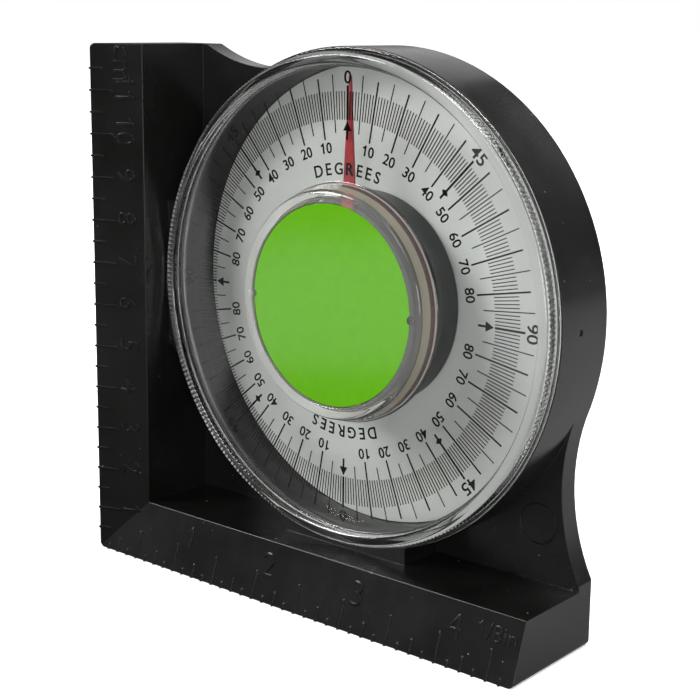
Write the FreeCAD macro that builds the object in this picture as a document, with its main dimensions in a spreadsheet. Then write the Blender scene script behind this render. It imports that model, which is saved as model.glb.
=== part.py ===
import FreeCAD, Part
import math
import os
import Sketcher

# A square-bodied angle finder. An L of two ruled bars carries a round cup. In the cup a weighted needle
# swings on a steel shaft, behind a clear lens that has the degree scale printed on its back.
# X is to the right, Y runs from the front to the back and Z is up. Angles run clockwise from the dial's top.
# The pieces are drawn from the body's lower left front corner, or from the pivot, and placed about the
# origin, which is the middle of the base.

# Driving sizes in millimetres
SIZES = {
    # Body: two bars, the web between them and the bays beside the cup
    "body_side": 120.65,
    "body_depth": 28.4,
    "bar_width": 12.9,
    "ridge_setback": 4.45,
    "web_thickness": 4.9,
    "bay_margin": 1.3,
    "bay_half": 20.4,
    "bay_rise": 15.4,
    "bay_depth": 5.0,
    "corner_radius": 1.2,
    "edge_radius": 0.2,
    # Ring left by the mould on the web
    "mould_mark_inset": 10.3,
    "mould_mark_rise": 12.5,
    "mould_mark_radius": 4.2,
    "mould_mark_width": 0.3,
    "mould_mark_sink": 0.25,
    # Pit left by the mould's gate on the cup's right side
    "gate_inset": 6.65,
    "gate_radius": 0.75,
    "gate_sink": 0.3,
    # Rulers moulded on the sloping faces
    "inch_pitch": 12.7,
    "quarter_pitch": 6.35,
    "centimetre_pitch": 10.0,
    "long_rib": 6.1,
    "centimetre_rib": 5.6,
    "quarter_rib": 3.0,
    "eighth_rib": 1.4,
    "rib_width": 0.45,
    "rib_proud": 0.25,
    "rib_sink": 0.5,
    # Cup, its feet and the pivot's post, measured from the back and from the rim inwards
    "cup_radius": 53.7,
    "cup_height": 16.4,
    "foot_gap": 1.2,
    "foot_width": 33.4,
    "foot_root": 0.5,
    "rim_wall": 1.0,
    "rebate_depth": 1.8,
    "ledge_width": 0.9,
    "floor_thickness": 6.2,
    "post_wall": 1.35,
    "post_height": 2.8,
    "seat_depth": 3.3,
    # Hollows in the back
    "hollow_depth": 3.4,
    "hollow_hub": 4.5,
    "hollow_rim": 6.7,
    "hollow_angle": 50.0,
    "core_wall": 2.4,
    "core_margin": 2.6,
    "core_end": 11.55,
    "core_web": 3.2,
    "core_face": 4.95,
    # Magnets in the base
    "magnet_length": 34.0,
    "magnet_width": 9.0,
    "magnet_height": 5.0,
    "magnet_recess": 0.3,
    "magnet_margin": 10.5,
    "pole_thickness": 1.5,
    "seat_gap": 0.05,
    # Dial plate
    "dial_gap": 0.15,
    "dial_thickness": 0.5,
    "dial_hole_gap": 0.3,
    # Lens
    "lens_gap": 0.15,
    "lip_height": 3.6,
    "lip_width": 2.55,
    "lip_round": 0.9,
    "bead_margin": 0.15,
    "bead_height": 0.75,
    "window_sink": 1.8,
    "window_thickness": 2.0,
    "flange_wall": 1.4,
    "boss_radius": 24.3,
    "boss_height": 4.7,
    "boss_draft": 1.2,
    "boss_round": 0.8,
    "boss_rim": 2.6,
    "recess_depth": 0.8,
    "boss_wall": 1.5,
    "boss_side_wall": 1.4,
    "socket_wall": 1.55,
    "socket_length": 2.6,
    "socket_skin": 1.7,
    "nub_radius": 0.8,
    "nub_height": 0.55,
    # Label
    "label_gap": 0.2,
    "label_thickness": 0.3,
    # Printed scale
    "ink_thickness": 0.08,
    "ten_margin": 2.65,
    "ten_length": 12.85,
    "ten_width": 0.36,
    "five_margin": 2.0,
    "five_length": 12.2,
    "five_width": 0.22,
    "one_margin": 5.5,
    "one_length": 5.95,
    "one_width": 0.2,
    "quadrant_margin": 4.3,
    "quadrant_width": 0.46,
    "arrow_gap": 0.3,
    "arrow_head": 1.95,
    "arrow_tail": 1.85,
    "arrow_width": 2.1,
    "diamond_tail": 0.95,
    "diamond_length": 1.45,
    "diamond_width": 1.9,
    # Shaft and its bearings
    "shaft_radius": 1.0,
    "running_gap": 0.04,
    "end_play": 0.1,
    "bearing_wall": 0.56,
    "bearing_floor": 0.6,
    "front_bearing_length": 2.2,
    "rear_bearing_length": 3.0,
    # Needle and collar
    "needle_gap": 0.7,
    "needle_thickness": 0.5,
    "needle_margin": 2.0,
    "needle_root_width": 3.4,
    "needle_tip_width": 0.5,
    "collar_wall": 1.35,
    "collar_length": 1.5,
    # Weight drum
    "drum_radius": 23.3,
    "drum_back_gap": 0.5,
    "drum_wall": 2.0,
    "drum_rim": 1.7,
    "hub_wall": 3.15,
    "hub_gap": 0.4,
    "drum_round": 0.5,
    # Counterweight and its rivets
    "weight_gap": 0.2,
    "weight_inset": 0.7,
    "weight_angle": 160.0,
    "rivet_spread": 90.0,
    "rivet_radius": 0.9,
    "rivet_lap": 0.8,
    "rivet_head": 0.6,
    "rivet_skin": 0.7,
    # Reach of every cut beyond the material
    "overrun": 1.0,
}

# Share of the smallest round within which two places count as one
MATCH_SHARE = 0.01

# Turns in degrees
FULL_TURN = 360
TEN_STEP = 10
FIVE_STEP = 5
QUADRANT = 90
HALF_QUADRANT = 45

# Counts
HOLLOW_COUNT = 6
CORE_COUNT = 4
MAGNET_COUNT = 2
NUB_COUNT = 2


class Length:
    """A size from the sheet, or a sum of sizes: its number now and the expression that gives it."""

    def __init__(self, number, words):
        self.number = number
        self.words = words

    def __add__(self, other):
        other = as_length(other)
        return Length(self.number + other.number, f"({self.words} + {other.words})")

    def __sub__(self, other):
        other = as_length(other)
        return Length(self.number - other.number, f"({self.words} - {other.words})")

    def __mul__(self, other):
        other = as_length(other)
        return Length(self.number * other.number, f"({self.words} * {other.words})")

    def __truediv__(self, other):
        other = as_length(other)
        return Length(self.number / other.number, f"({self.words} / {other.words})")

    def __neg__(self):
        return Length(-self.number, f"(-{self.words})")


def as_length(thing):
    """A plain number becomes a Length too."""
    return thing if isinstance(thing, Length) else Length(thing, repr(thing))


def square_root(length):
    return Length(math.sqrt(length.number), f"sqrt({length.words})")


class Sizes:
    """The sheet's cells by name, as Lengths."""

    def __init__(self, sheet):
        for row, (name, value) in enumerate(SIZES.items(), start=1):
            sheet.set(f"A{row}", name)
            sheet.set(f"B{row}", str(value))
            sheet.setAlias(f"B{row}", name)
            setattr(self, name, Length(value, f"{sheet.Name}.{name}"))


doc = FreeCAD.newDocument("angle_finder")
sheet = doc.addObject("Spreadsheet::Sheet", "Sizes")
s = Sizes(sheet)
doc.recompute()

ZERO = Length(0, "0")

# Places worked out from the sizes: the pivot, the origin and the slope of the ruled faces
pivot_offset = s.bar_width + s.foot_gap + s.cup_radius
origin_x = (pivot_offset + s.cup_radius) / 2
origin_y = (s.body_depth - s.rib_proud) / 2
slope = s.ridge_setback / s.bar_width

# Depths and radii of the cup
web_front = s.body_depth - s.web_thickness
cup_front = s.body_depth - s.cup_height
rebate_back = cup_front + s.rebate_depth
rebate_radius = s.cup_radius - s.rim_wall
cup_bore = rebate_radius - s.ledge_width
floor_front = s.body_depth - s.floor_thickness
post_front = floor_front - s.post_height
seat_back = post_front + s.seat_depth
dial_front = floor_front - s.dial_thickness

# Depths and radii of the lens, which sits in the cup's rebate
lens_radius = rebate_radius - s.lens_gap
lip_inner = lens_radius - s.lip_width
lip_front = cup_front - s.lip_height
bead_radius = s.cup_radius - s.bead_margin
bead_back = cup_front - s.seat_gap
window_front = lip_front + s.window_sink
window_back = window_front + s.window_thickness
boss_front = window_front - s.boss_height
recess_radius = s.boss_radius - s.boss_rim
recess_back = boss_front + s.recess_depth
boss_back = recess_back + s.boss_wall
boss_hollow_radius = s.boss_radius - s.boss_side_wall
socket_floor = recess_back + s.socket_skin

# Places of the magnets, alike from both ends of the base bar and in the middle of its depth
magnet_pitch = s.body_side - s.magnet_margin * 2 - s.magnet_length
pole_front = (s.body_depth - s.magnet_width) / 2 - s.pole_thickness

# Radii of the shaft and its bearings
bearing_bore = s.shaft_radius + s.running_gap
bearing_radius = bearing_bore + s.bearing_wall
bearing_seat = bearing_radius + s.seat_gap
shaft_hole = s.shaft_radius + s.seat_gap
post_radius = bearing_seat + s.post_wall

# Depths and radii of the needle, the drum and the weight
needle_front = window_back + s.needle_gap
needle_back = needle_front + s.needle_thickness
hub_radius = shaft_hole + s.hub_wall
drum_bore = s.drum_radius - s.drum_rim
drum_back = dial_front - s.drum_back_gap
weight_front = needle_back + s.drum_wall
weight_back = drum_back - s.weight_inset
weight_inner = hub_radius + s.weight_gap
weight_outer = drum_bore - s.weight_gap
rivet_grip = s.drum_wall - s.rivet_skin


# Building with bodies and sketches

def bind(thing, name, length):
    """Bind one property to its expression."""
    thing.setExpression(name, length.words)


def place(thing, x, y, z):
    """Put a piece, drawn from its own corner or axis, at its place about the origin."""
    bind(thing, "Placement.Base.x", x - origin_x)
    bind(thing, "Placement.Base.y", y - origin_y)
    bind(thing, "Placement.Base.z", z)


def new_body(name, x=ZERO, y=ZERO, z=ZERO):
    body = doc.addObject("PartDesign::Body", name)
    body.Label = name
    place(body, x, y, z)
    return body


def pivot_body(name):
    """A body whose own Y axis is the pivot."""
    return new_body(name, pivot_offset, ZERO, pivot_offset)


def origin_feature(body, role):
    return next(feature for feature in body.Origin.OriginFeatures if feature.Role == role)


def new_sketch(body, name, role, x=ZERO, y=ZERO, z=ZERO):
    """A sketch on one of the body's origin planes, moved in the plane's own directions."""
    sketch = body.newObject("Sketcher::SketchObject", name)
    sketch.AttachmentSupport = (origin_feature(body, role), [""])
    sketch.MapMode = "FlatFace"
    bind(sketch, "AttachmentOffset.Base.x", x)
    bind(sketch, "AttachmentOffset.Base.y", y)
    bind(sketch, "AttachmentOffset.Base.z", z)
    return sketch


def front_sketch(body, name, depth=ZERO):
    """A sketch seen from the front, X to the right and Z up, at a depth behind the front."""
    return new_sketch(body, name, "XZ_Plane", z=-depth)


def hold(sketch, kind, items, length):
    """Add a dimension and bind it."""
    index = sketch.addConstraint(Sketcher.Constraint(kind, *items, length.number))
    bind(sketch, f"Constraints[{index}]", length)


def fix_point(sketch, item, end, x, y):
    """Dimension a point from the sketch's origin, or lay it on an axis."""
    for axis, kind, length in ((-2, "DistanceX", x), (-1, "DistanceY", y)):
        if length.number == 0:
            sketch.addConstraint(Sketcher.Constraint("PointOnObject", item, end, axis))
        else:
            hold(sketch, kind, (-1, 1, item, end), length)


def outline(sketch, corners, radii=None):
    """Draw a closed outline. radii gives the middle point and the radius of an edge that is an arc."""
    radii = radii or {}
    count = len(corners)
    vectors = [FreeCAD.Vector(x.number, y.number, 0) for x, y in corners]
    first = sketch.GeometryCount
    ends = []
    for i in range(count):
        start, end = vectors[i], vectors[(i + 1) % count]
        if i in radii:
            middle = FreeCAD.Vector(radii[i][0].number, radii[i][1].number, 0)
            arc = Part.Arc(start, middle, end)
            sketch.addGeometry(arc)
            backwards = (middle - start).cross(end - start).z < 0
            ends.append((2, 1) if backwards else (1, 2))
        else:
            sketch.addGeometry(Part.LineSegment(start, end))
            ends.append((1, 2))
    for i in range(count):
        j = (i + 1) % count
        joint = (first + i, ends[i][1], first + j, ends[j][0])
        sketch.addConstraint(Sketcher.Constraint("Coincident", *joint))
        fix_point(sketch, first + i, ends[i][0], *corners[i])
    for i, (_, _, radius) in radii.items():
        hold(sketch, "Radius", (first + i,), radius)


def circle(sketch, x, y, radius):
    centre = FreeCAD.Vector(x.number, y.number, 0)
    normal = FreeCAD.Vector(0, 0, 1)
    index = sketch.addGeometry(Part.Circle(centre, normal, radius.number))
    fix_point(sketch, index, 3, x, y)
    hold(sketch, "Radius", (index,), radius)


def rectangle(sketch, x0, y0, x1, y1):
    outline(sketch, [(x0, y0), (x1, y0), (x1, y1), (x0, y1)])


def extrude(body, sketch, kind, length, against=False, both_ways=False):
    """Pad or pocket a sketch: right, forwards or up along its plane's own direction, or against that."""
    feature = body.newObject(f"PartDesign::{kind}", f"{sketch.Name}_{kind}")
    feature.Profile = (sketch, [""])
    bind(feature, "Length", length)
    feature.Reversed = against if kind == "Pad" else not against
    feature.Midplane = both_ways
    body.Tip = feature
    return feature


def turn(body, sketch, kind="Revolution", angle=None, axis="V_Axis"):
    """Revolve or groove a sketch about one of its own axes, all round or by an angle to both sides."""
    feature = body.newObject(f"PartDesign::{kind}", f"{sketch.Name}_{kind}")
    feature.Profile = (sketch, [""])
    feature.ReferenceAxis = (sketch, [axis])
    feature.Angle = FULL_TURN
    if angle is not None:
        bind(feature, "Angle", angle)
        feature.Midplane = True
    body.Tip = feature
    return feature


def turned_profile(body, name, corners):
    """A round piece from corners given as radius and depth."""
    sketch = new_sketch(body, name, "XY_Plane")
    outline(sketch, corners)
    return turn(body, sketch)


def repeat_along(body, feature, role, pitch, count):
    """Repeat a feature in a line. The count is a number or a Length that is rounded down."""
    pattern = body.newObject("PartDesign::LinearPattern", f"{feature.Name}_row")
    pattern.Originals = [feature]
    pattern.Direction = (origin_feature(body, role), [""])
    whole = as_length(count)
    whole = Length(math.floor(whole.number), f"floor({whole.words})")
    bind(pattern, "Occurrences", whole)
    bind(pattern, "Length", pitch * (whole - 1))
    body.Tip = pattern
    return pattern


def repeat_around(body, feature, axis, count):
    pattern = body.newObject("PartDesign::PolarPattern", f"{feature.Name}_ring")
    pattern.Originals = [feature]
    pattern.Axis = axis
    pattern.Angle = FULL_TURN
    pattern.Occurrences = count
    body.Tip = pattern
    return pattern


def round_edges(body, name, radius, chosen):
    """Fillet the edges that a test of each edge picks."""
    doc.recompute()
    base = body.Tip
    names = [f"Edge{i}" for i, edge in enumerate(base.Shape.Edges, start=1) if chosen(edge)]
    fillet = body.newObject("PartDesign::Fillet", name)
    fillet.Base = (base, names)
    bind(fillet, "Radius", radius)
    body.Tip = fillet
    return fillet


def near(a, b):
    return abs(a - b) < MATCH_SHARE * s.edge_radius.number


def is_circle(edge, radius, depth):
    """Whether an edge is a full circle of this radius about the pivot, at this depth."""
    curve = edge.Curve
    if not isinstance(curve, Part.Circle):
        return False
    return near(curve.Radius, radius.number) and near(curve.Center.y, depth.number)


# Body

def bar_section():
    """Corners of a bar's section: the outer edge is at the front and the ridge lies further back."""
    return [
        (ZERO, ZERO),
        (s.bar_width, s.ridge_setback),
        (s.bar_width, s.body_depth),
        (ZERO, s.body_depth),
    ]


def add_bars(body):
    base = new_sketch(body, "base_section", "YZ_Plane")
    outline(base, [(y, z) for z, y in bar_section()])
    extrude(body, base, "Pad", s.body_side)
    side = new_sketch(body, "side_section", "XY_Plane")
    outline(side, bar_section())
    extrude(body, side, "Pad", s.body_side)


def add_web(body):
    """The web's outline follows both bars and dips into a bay on each side of the cup."""
    half, rise = s.bay_half, s.bay_rise
    start = s.bar_width + s.bay_margin
    middle = start + half
    top = middle + rise
    radius = (half * half + s.bay_depth * s.bay_depth) / (s.bay_depth * 2)
    deepest = s.body_side - s.bay_depth
    end = deepest + radius - square_root(radius * radius - rise * rise)
    sketch = front_sketch(body, "web_outline", web_front)
    corners = [
        (ZERO, ZERO),
        (s.body_side, ZERO),
        (s.body_side, start),
        (end, top),
        (top, end),
        (start, s.body_side),
        (ZERO, s.body_side),
    ]
    arcs = {2: (deepest, middle, radius), 4: (middle, deepest, radius)}
    outline(sketch, corners, arcs)
    extrude(body, sketch, "Pad", s.body_depth - web_front, against=True)


def add_cup_outside(body):
    """The cup's drum, and a foot that joins it to each bar where they all but touch."""
    sketch = front_sketch(body, "cup_circle", cup_front)
    circle(sketch, pivot_offset, pivot_offset, s.cup_radius)
    extrude(body, sketch, "Pad", s.body_depth - cup_front, against=True)
    feet = front_sketch(body, "cup_feet", cup_front)
    low, high = pivot_offset - s.foot_width / 2, pivot_offset + s.foot_width / 2
    inner = s.bar_width - s.foot_root
    corners = [(low, inner), (high, inner), (high, low), (low, low), (low, high), (inner, high), (inner, low)]
    outline(feet, corners)
    extrude(body, feet, "Pad", s.body_depth - cup_front, against=True)


def add_cup_inside(body):
    """One cut makes the lens's rebate, the bore, the floor, the pivot's post and its bearing seat."""
    sketch = new_sketch(body, "cup_hollow", "XY_Plane", x=pivot_offset, z=pivot_offset)
    mouth = cup_front - s.overrun
    corners = [
        (ZERO, mouth),
        (rebate_radius, mouth),
        (rebate_radius, rebate_back),
        (cup_bore, rebate_back),
        (cup_bore, floor_front),
        (post_radius, floor_front),
        (post_radius, post_front),
        (bearing_seat, post_front),
        (bearing_seat, seat_back),
        (ZERO, seat_back),
    ]
    outline(sketch, corners)
    turn(body, sketch, "Groove")


def add_back_hollows(body):
    """Sectors behind the cup's floor leave a hub, a rim and six spokes."""
    sketch = new_sketch(body, "floor_hollow", "XY_Plane", x=pivot_offset, z=pivot_offset)
    inner, outer = post_radius + s.hollow_hub, s.cup_radius - s.hollow_rim
    rectangle(sketch, inner, s.body_depth - s.hollow_depth, outer, s.body_depth + s.overrun)
    groove = turn(body, sketch, "Groove", angle=s.hollow_angle)
    repeat_around(body, groove, (sketch, ["V_Axis"]), HOLLOW_COUNT)


def add_bar_cores(body):
    """A row of pockets in the side bar's back, and one in the base bar between the magnets."""
    wall = s.core_wall
    low, high = wall, s.bar_width - wall
    depth = s.body_depth - s.ridge_setback - s.core_face
    start = s.bar_width + s.core_margin
    length = (s.body_side - start - s.core_end - s.core_web * (CORE_COUNT - 1)) / CORE_COUNT
    side = front_sketch(body, "side_core", s.body_depth)
    rectangle(side, low, start, high, start + length)
    pocket = extrude(body, side, "Pocket", depth)
    repeat_along(body, pocket, "Z_Axis", length + s.core_web, CORE_COUNT)
    first = s.magnet_margin + s.magnet_length + wall * 2
    base = front_sketch(body, "base_core", s.body_depth)
    rectangle(base, first, low, s.body_side - first, high)
    extrude(body, base, "Pocket", depth)


def add_magnet_pockets(body):
    sketch = new_sketch(body, "magnet_pocket", "XY_Plane")
    first, front, gap = s.magnet_margin, pole_front, s.seat_gap
    width = s.magnet_width + s.pole_thickness * 2
    rectangle(sketch, first - gap, front - gap, first + s.magnet_length + gap, front + width + gap)
    pocket = extrude(body, sketch, "Pocket", s.magnet_height + s.magnet_recess)
    repeat_along(body, pocket, "X_Axis", magnet_pitch, MAGNET_COUNT)


def add_mould_mark(body):
    """A shallow ring that the mould left on the web, inside the lower bay."""
    sketch = front_sketch(body, "mould_mark", web_front)
    x, z = s.body_side - s.mould_mark_inset, s.bar_width + s.mould_mark_rise
    circle(sketch, x, z, s.mould_mark_radius)
    circle(sketch, x, z, s.mould_mark_radius + s.mould_mark_width)
    extrude(body, sketch, "Pocket", s.mould_mark_sink, against=True)


def add_gate_mark(body):
    """A small pit at the height of the pivot, where the plastic entered the mould."""
    side = pivot_offset + s.cup_radius
    sketch = new_sketch(body, "gate_mark", "YZ_Plane", z=side)
    circle(sketch, cup_front + s.gate_inset, pivot_offset, s.gate_radius)
    extrude(body, sketch, "Pocket", s.gate_sink, against=True)


def rib_section(reach):
    """A rib's side view on a sloping face: it stands proud of the slope and is rooted in the bar."""
    lean = slope * reach
    return [
        (ZERO, -s.rib_proud),
        (reach, lean - s.rib_proud),
        (reach, lean + s.rib_sink),
        (ZERO, s.rib_sink),
    ]


def add_ruler(body, name, reach, start, pitch, upright):
    """A row of ruler ribs: upright bars number along X and the side bar along Z."""
    if upright:
        sketch = new_sketch(body, name, "YZ_Plane", z=start)
        outline(sketch, [(y, z) for z, y in rib_section(reach)])
    else:
        sketch = new_sketch(body, name, "XY_Plane", z=start)
        outline(sketch, rib_section(reach))
    rib = extrude(body, sketch, "Pad", s.rib_width, both_ways=True)
    count = (s.body_side - s.corner_radius - start) / pitch + 1
    row = repeat_along(body, rib, "X_Axis" if upright else "Z_Axis", pitch, count)
    rib.Refine = False
    row.Refine = False


def add_rulers(body):
    """Eighths of an inch along the base bar and half centimetres up the side bar."""
    add_ruler(body, "half_inch_ribs", s.long_rib, s.inch_pitch, s.inch_pitch, True)
    add_ruler(body, "quarter_ribs", s.quarter_rib, s.quarter_pitch, s.inch_pitch, True)
    add_ruler(body, "eighth_ribs", s.eighth_rib, s.quarter_pitch / 2, s.quarter_pitch, True)
    add_ruler(body, "centimetre_ribs", s.centimetre_rib, s.centimetre_pitch, s.centimetre_pitch, False)
    add_ruler(body, "half_centimetre_ribs", s.quarter_rib, s.centimetre_pitch / 2, s.centimetre_pitch, False)


def is_outer_corner(edge):
    """Whether an edge runs from front to back at an outer corner of the L."""
    if len(edge.Vertexes) != 2:
        return False
    a, b = (vertex.Point for vertex in edge.Vertexes)
    side = s.body_side.number
    straight = near(a.x, b.x) and near(a.z, b.z)
    at_corner = any(near(a.x, x) and near(a.z, z) for x, z in ((0, 0), (side, 0), (0, side)))
    return straight and at_corner


def is_bar_edge(edge):
    """Whether an edge is one of the L's long outer edges or a ridge."""
    if len(edge.Vertexes) != 2:
        return False
    a, b = (vertex.Point for vertex in edge.Vertexes)
    depth = s.body_depth.number
    outer = near(a.y, b.y) and (near(a.y, 0) or near(a.y, depth))
    on_base = near(a.z, 0) and near(b.z, 0) and not near(a.x, b.x)
    on_side = near(a.x, 0) and near(b.x, 0) and not near(a.z, b.z)
    ridge = near(a.y, s.ridge_setback.number) and near(b.y, s.ridge_setback.number)
    return (outer and (on_base or on_side)) or ridge


def make_frame():
    body = new_body("frame")
    add_bars(body)
    add_web(body)
    add_cup_outside(body)
    round_edges(body, "outer_corners", s.corner_radius, is_outer_corner)
    round_edges(body, "bar_edges", s.edge_radius, is_bar_edge)
    add_cup_inside(body)
    add_back_hollows(body)
    add_bar_cores(body)
    add_magnet_pockets(body)
    add_mould_mark(body)
    add_gate_mark(body)
    add_rulers(body)
    return body


# Magnets

def make_magnet(name, start):
    """One block magnet, set a little above the base face."""
    box = doc.addObject("Part::Box", name)
    box.Label = name
    bind(box, "Length", s.magnet_length)
    bind(box, "Width", s.magnet_width)
    bind(box, "Height", s.magnet_height)
    place(box, start, pole_front + s.pole_thickness, s.magnet_recess)
    return box


def make_pole_plates(name, start):
    """The two steel plates that bracket a magnet and carry its pull down to the base face."""
    body = new_body(name, start, pole_front, ZERO)
    body.AllowCompound = True
    sketch = new_sketch(body, f"{name}_outline", "XY_Plane")
    plate, width = s.pole_thickness, s.magnet_width
    rectangle(sketch, ZERO, ZERO, s.magnet_length, plate)
    rectangle(sketch, ZERO, plate + width, s.magnet_length, plate * 2 + width)
    extrude(body, sketch, "Pad", s.magnet_height + s.magnet_recess)
    return body


# Dial, lens and label

def make_dial_plate():
    body = pivot_body("dial_plate")
    hole, rim = post_radius + s.dial_hole_gap, cup_bore - s.dial_gap
    corners = [(hole, dial_front), (rim, dial_front), (rim, floor_front), (hole, floor_front)]
    turned_profile(body, "dial_profile", corners)
    return body


def make_lens():
    """A clear moulding: a raised boss for the label, a flat window, and a lip that sits in the cup.
    A bead round the lip covers the cup's edge."""
    body = pivot_body("lens")
    socket_radius, socket_back = bearing_seat + s.socket_wall, boss_back + s.socket_length
    flange_inner = lens_radius - s.flange_wall
    corners = [
        (ZERO, recess_back),
        (recess_radius, recess_back),
        (recess_radius, boss_front),
        (s.boss_radius, boss_front),
        (s.boss_radius + s.boss_draft, window_front),
        (lip_inner, window_front),
        (lip_inner, lip_front),
        (lens_radius, lip_front),
        (lens_radius, bead_back - s.bead_height),
        (bead_radius, bead_back - s.bead_height),
        (bead_radius, bead_back),
        (lens_radius, bead_back),
        (lens_radius, rebate_back),
        (flange_inner, rebate_back),
        (flange_inner, window_back),
        (boss_hollow_radius, window_back),
        (boss_hollow_radius, boss_back),
        (socket_radius, boss_back),
        (socket_radius, socket_back),
        (bearing_seat, socket_back),
        (bearing_seat, socket_floor),
        (ZERO, socket_floor),
    ]
    turned_profile(body, "lens_profile", corners)
    nub = front_sketch(body, "nub", recess_back)
    circle(nub, recess_radius, ZERO, s.nub_radius)
    pad = extrude(body, nub, "Pad", s.nub_height)
    repeat_around(body, pad, (origin_feature(body, "Y_Axis"), [""]), NUB_COUNT)
    lips = [(lip_inner, lip_front), (lens_radius, lip_front)]
    round_edges(body, "lip_rounds", s.lip_round, lambda edge: any(is_circle(edge, *lip) for lip in lips))
    rim = (s.boss_radius, boss_front)
    round_edges(body, "boss_rim_round", s.boss_round, lambda edge: is_circle(edge, *rim))
    return body


def make_centre_label():
    """A thin printed disc with a notch at each of the lens's nubs."""
    body = pivot_body("centre_label")
    front, radius = recess_back - s.label_thickness, recess_radius - s.label_gap
    corners = [(ZERO, front), (radius, front), (radius, recess_back), (ZERO, recess_back)]
    turned_profile(body, "label_profile", corners)
    notch = front_sketch(body, "notch", front)
    circle(notch, recess_radius, ZERO, s.nub_radius + s.seat_gap)
    cut = extrude(body, notch, "Pocket", s.label_thickness, against=True)
    repeat_around(body, cut, (origin_feature(body, "Y_Axis"), [""]), NUB_COUNT)
    return body


# Printed scale

def dial_point(radius, degrees, across=0):
    """A point on the back of the lens at a radius and an angle, moved sideways from that spoke."""
    angle = math.radians(degrees)
    x = radius * math.sin(angle) + across * math.cos(angle)
    z = radius * math.cos(angle) - across * math.sin(angle)
    return FreeCAD.Vector(x, window_back.number, z)


def ink(points):
    """A printed patch: a thin plate behind the window."""
    face = Part.Face(Part.makePolygon(points + points[:1]))
    return face.extrude(FreeCAD.Vector(0, s.ink_thickness.number, 0))


def spoke(margin, length, width, degrees):
    """A plain mark, whose outer end lies a margin inside the lens's lip."""
    half = width.number / 2
    outer = (lip_inner - margin).number
    inner = outer - length.number
    ends = ((inner, -half), (outer, -half), (outer, half), (inner, half))
    return ink([dial_point(radius, degrees, across) for radius, across in ends])


def mirrored_mark(side, degrees):
    """A mark from one side of its outline, given as radius and distance from its middle line."""
    other = [(radius, -across) for radius, across in side[::-1] if across]
    return ink([dial_point(radius, degrees, across) for radius, across in side + other])


def quadrant_line():
    """Ends and half width of a quadrant's heavy line: it runs over the single degrees towards its number."""
    outer = lip_inner - s.quadrant_margin
    inner = lip_inner - s.one_margin - s.one_length
    return inner.number, outer.number, s.quadrant_width.number / 2


def arrow(degrees):
    """The main mark of a quadrant: an arrow that points outwards at a heavy line."""
    inner, outer, shoulder = quadrant_line()
    half = s.arrow_width.number / 2
    tip = inner - s.arrow_gap.number
    base = tip - s.arrow_head.number
    tail = base - s.arrow_tail.number
    head = [(tail, shoulder), (base, shoulder), (base, half), (tip, 0)]
    line = [(inner, shoulder), (outer, shoulder)]
    return [mirrored_mark(head, degrees), mirrored_mark(line, degrees)]


def diamond(degrees):
    """The mark between two quadrants: a heavy line through a small diamond, with a short tail inwards."""
    inner, outer, shoulder = quadrant_line()
    half, reach = s.diamond_width.number / 2, s.diamond_length.number / 2
    tail = inner - (s.arrow_gap + s.arrow_head + s.arrow_tail).number
    middle = tail + s.diamond_tail.number + reach
    neck = reach * (1 - shoulder / half)
    widest = [(middle - neck, shoulder), (middle, half), (middle + neck, shoulder)]
    return [mirrored_mark([(tail, shoulder), *widest, (outer, shoulder)], degrees)]


def make_print(name, solids):
    """Ink can't be padded from one sketch in a body, because each mark is a solid by itself."""
    feature = doc.addObject("Part::Feature", name)
    feature.Label = name
    feature.Shape = Part.makeCompound(solids)
    place(feature, pivot_offset, ZERO, pivot_offset)
    return feature


def make_plain_marks(name, margin, length, width, turns):
    return make_print(name, [spoke(margin, length, width, degrees) for degrees in turns])


def make_scale():
    """Degree marks by family. The quadrants' own marks take the place of the plain lines there."""
    arrows = range(0, FULL_TURN, QUADRANT)
    diamonds = range(HALF_QUADRANT, FULL_TURN, QUADRANT)
    tens = [d for d in range(0, FULL_TURN, TEN_STEP) if d not in arrows]
    fives = [d for d in range(FIVE_STEP, FULL_TURN, TEN_STEP) if d not in diamonds]
    ones = [d for d in range(FULL_TURN) if d % FIVE_STEP]
    heavy = [solid for d in arrows for solid in arrow(d)]
    heavy += [solid for d in diamonds for solid in diamond(d)]
    return [
        make_print("quadrant_marks", heavy),
        make_plain_marks("ten_degree_marks", s.ten_margin, s.ten_length, s.ten_width, tens),
        make_plain_marks("five_degree_marks", s.five_margin, s.five_length, s.five_width, fives),
        make_plain_marks("one_degree_marks", s.one_margin, s.one_length, s.one_width, ones),
    ]


# Shaft and bearings

def make_bearing(name, floor, inner_floor, mouth):
    """A brass cup: its floor stops the shaft's end, and its bore carries it."""
    body = pivot_body(name)
    corners = [
        (ZERO, floor),
        (bearing_radius, floor),
        (bearing_radius, mouth),
        (bearing_bore, mouth),
        (bearing_bore, inner_floor),
        (ZERO, inner_floor),
    ]
    turned_profile(body, f"{name}_profile", corners)
    return body


def make_front_bearing():
    floor = socket_floor
    return make_bearing("front_bearing", floor, floor + s.bearing_floor, floor + s.front_bearing_length)


def make_rear_bearing():
    floor = seat_back
    return make_bearing("rear_bearing", floor, floor - s.bearing_floor, floor - s.rear_bearing_length)


def make_shaft():
    """A steel pin with a domed end in each bearing."""
    body = pivot_body("pivot_shaft")
    dome = s.shaft_radius / 2
    front = socket_floor + s.bearing_floor + s.end_play
    back = seat_back - s.bearing_floor - s.end_play
    corners = [
        (ZERO, front),
        (dome, front),
        (s.shaft_radius, front + dome),
        (s.shaft_radius, back - dome),
        (dome, back),
        (ZERO, back),
    ]
    turned_profile(body, "shaft_profile", corners)
    return body


# Pieces that swing

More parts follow.
